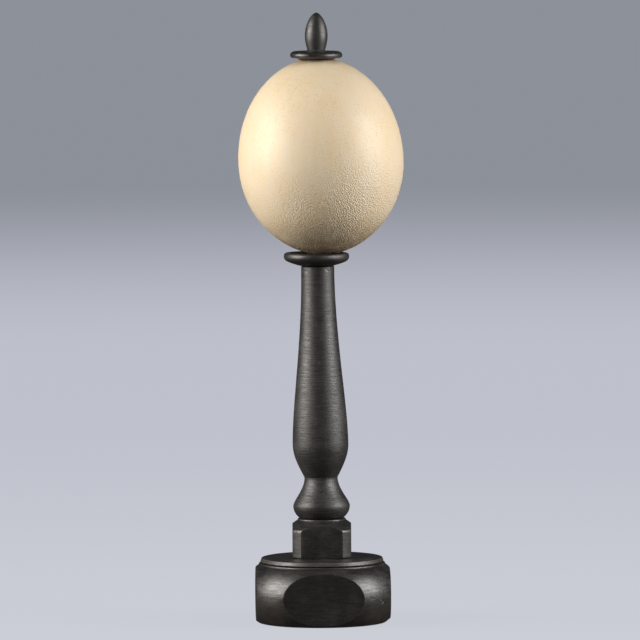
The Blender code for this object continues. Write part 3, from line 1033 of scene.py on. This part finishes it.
class EGGSTAND_OT_finial(bpy.types.Operator):
    """Turn the pointed bud and bore it for the end of the rod"""

    bl_idname = "eggstand.finial"
    bl_label = "Finial"

    def execute(self, context):
        s = context.scene.egg_stand
        f = s.finial
        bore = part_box("tie_rod")[1].y + GAP
        bore_end = 14.3 * MM
        foot = (f.foot_radius, 0.0)
        widest = (f.radius, f.widest)
        side = curve(foot, (7.8 * MM, 3.3 * MM), (f.radius, 7.0 * MM), widest, 24)
        side += curve(widest, (f.radius, 20.9 * MM), (4.0 * MM, 28.2 * MM), (1.1 * MM, f.height - 0.3 * MM), 40)[1:]
        side = scored(side, 17, (2.0, 5.0), (0.005, 0.02), (0.5, 0.9))
        side += curve(side[-1], *scaled((0.8, 29.5), (0.4, 29.6), (0.15, 29.6)), 5)[1:]
        outline = [(0.0, bore_end), (bore, bore_end), (bore, 0.0), *side, (0.0, f.height)]
        bm = turned(outline, 96)
        base = s.cap.base + s.cap.thickness + GAP
        place = TOP_FRAME @ Matrix.Translation((0, 0, base))
        material = ebonised_wood("finial_ebonised_hardwood_waxed", place, (1.0, 1.0, 0.08), 1.2, roughness=0.52, line_depth=0.10)
        piece = finished("bud_finial", bm, place, material, "finial")
        smooth(piece)
        return {"FINISHED"}


class EGGSTAND_OT_rod(bpy.types.Operator):
    """Give the hidden rod its steel"""

    bl_idname = "eggstand.rod"
    bl_label = "Steel Rod"

    def execute(self, context):
        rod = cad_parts["tie_rod"]
        rod.data.materials.clear()
        rod.data.materials.append(drawn_steel())
        return {"FINISHED"}


def softbox(name, azimuth_deg, distance, height, width, tall, power, hue, target):
    """A tall soft light to one side, turned to face the egg and its stand."""
    light = bpy.data.lights.new(name, "AREA")
    light.shape = "RECTANGLE"
    light.size = width
    light.size_y = tall
    light.energy = power
    light.color = colour(hue)
    light.spread = math.radians(120)  # a gridded front, which keeps it off the floor beside it
    lamp = bpy.data.objects.new(name, light)
    angle = math.radians(azimuth_deg)
    lamp.location = (math.sin(angle) * distance, -math.cos(angle) * distance, height)
    lamp.rotation_euler = (Vector((0, 0, target)) - lamp.location).to_track_quat("-Z", "Y").to_euler()
    lamp.visible_camera = False
    bpy.context.scene.collection.objects.link(lamp)
    return lamp


class EGGSTAND_OT_stage(bpy.types.Operator):
    """Lay the floor, set the studio light and place the camera"""

    bl_idname = "eggstand.stage"
    bl_label = "Stage"

    def execute(self, context):
        studio = context.scene.egg_stand.studio
        bm = bmesh.new()
        bmesh.ops.create_circle(bm, cap_ends=True, segments=96, radius=40.0)
        mesh = bpy.data.meshes.new("studio_floor")
        bm.to_mesh(mesh)
        bm.free()
        mesh.materials.append(studio_floor_finish())
        floor = bpy.data.objects.new("studio_floor", mesh)
        context.scene.collection.objects.link(floor)
        # The object stands in a dark studio: the floor shows, but sends no light up at it
        floor.visible_diffuse = False
        floor.visible_glossy = False

        world = bpy.data.worlds.new("studio")
        context.scene.world = world
        world.use_nodes = True
        tree = world.node_tree
        tree.nodes.clear()
        # The camera sees a pale backdrop, while the object stands in a dim room lit from the front
        way = add_node(tree, "ShaderNodeTexCoord").outputs["Generated"]
        way = add_node(tree, "ShaderNodeSeparateXYZ", {"Vector": way}).outputs
        hue = blend(tree, between(tree, way["Y"], 0.3, -0.7), rgba(studio.room), rgba(studio.room_front))
        hue = blend(tree, between(tree, way["Z"], 0.0, -0.4), hue, rgba(studio.room_low))
        side = between(tree, maths(tree, "ABSOLUTE", way["X"]), 0.45, 0.9)
        side = maths(tree, "MULTIPLY", side, between(tree, way["Z"], 0.1, -0.25))
        hue = blend(tree, side, hue, rgba(studio.room_side))
        seen = add_node(tree, "ShaderNodeLightPath").outputs["Is Camera Ray"]
        hue = blend(tree, seen, hue, rgba(studio.backdrop))
        sky = add_node(tree, "ShaderNodeBackground", {"Color": hue, "Strength": 1.0})
        add_node(tree, "ShaderNodeOutputWorld", {"Surface": sky.outputs["Background"]})
        # Plain display of the light, because a film curve would grey the pale shell
        context.scene.view_settings.view_transform = "Standard"

        softbox("left_softbox", -76, 1.4, 0.74, 1.1, 1.1, studio.left_power, "FFFAF4", 0.34)
        softbox("right_softbox", 73, 1.4, 0.74, 1.1, 1.1, studio.right_power, "FFFCFA", 0.34)

        data = bpy.data.cameras.new("camera")
        data.sensor_width = 36.0
        data.lens = 430.57
        data.clip_start = 0.1
        data.clip_end = 120.0
        camera = bpy.data.objects.new("camera", data)
        camera.location = (-0.4 * MM, -6.0, 0.645)
        look = Euler((math.radians(90 - 3.8816), 0, 0)).to_matrix()
        roll = Matrix.Rotation(math.radians(-0.35), 3, "Z")
        camera.rotation_euler = (look @ roll).to_euler()
        context.scene.collection.objects.link(camera)
        context.scene.camera = camera
        return {"FINISHED"}


class EGGSTAND_PT_panel(bpy.types.Panel):
    """Lists the pieces in the order that they are made"""

    bl_idname = "EGGSTAND_PT_panel"
    bl_label = "Egg Stand"
    bl_space_type = "VIEW_3D"
    bl_region_type = "UI"
    bl_category = "Egg Stand"

    def draw(self, context):
        for maker in OPERATORS:
            self.layout.operator(maker.bl_idname)


SETTINGS = (
    DrumSettings, PlateSettings, BlockSettings, BalusterSettings, DishSettings, EggSettings,
    CapSettings, FinialSettings, FinishSettings, StudioSettings, EggStandSettings,
)
OPERATORS = (
    EGGSTAND_OT_drum, EGGSTAND_OT_plate, EGGSTAND_OT_block, EGGSTAND_OT_baluster, EGGSTAND_OT_dish,
    EGGSTAND_OT_egg, EGGSTAND_OT_cap, EGGSTAND_OT_finial, EGGSTAND_OT_rod, EGGSTAND_OT_stage,
)
CLASSES = (*SETTINGS, *OPERATORS, EGGSTAND_PT_panel)


def register():
    for item in CLASSES:
        bpy.utils.register_class(item)
    bpy.types.Scene.egg_stand = PointerProperty(type=EggStandSettings)


def unregister():
    del bpy.types.Scene.egg_stand
    for item in reversed(CLASSES):
        bpy.utils.unregister_class(item)


def main():
    register()
    bpy.ops.eggstand.stage()
    bpy.ops.eggstand.drum()
    bpy.ops.eggstand.plate()
    bpy.ops.eggstand.block()
    bpy.ops.eggstand.baluster()
    bpy.ops.eggstand.dish()
    bpy.ops.eggstand.egg()
    bpy.ops.eggstand.cap()
    bpy.ops.eggstand.finial()
    bpy.ops.eggstand.rod()


if __name__ == "__main__":
    main()
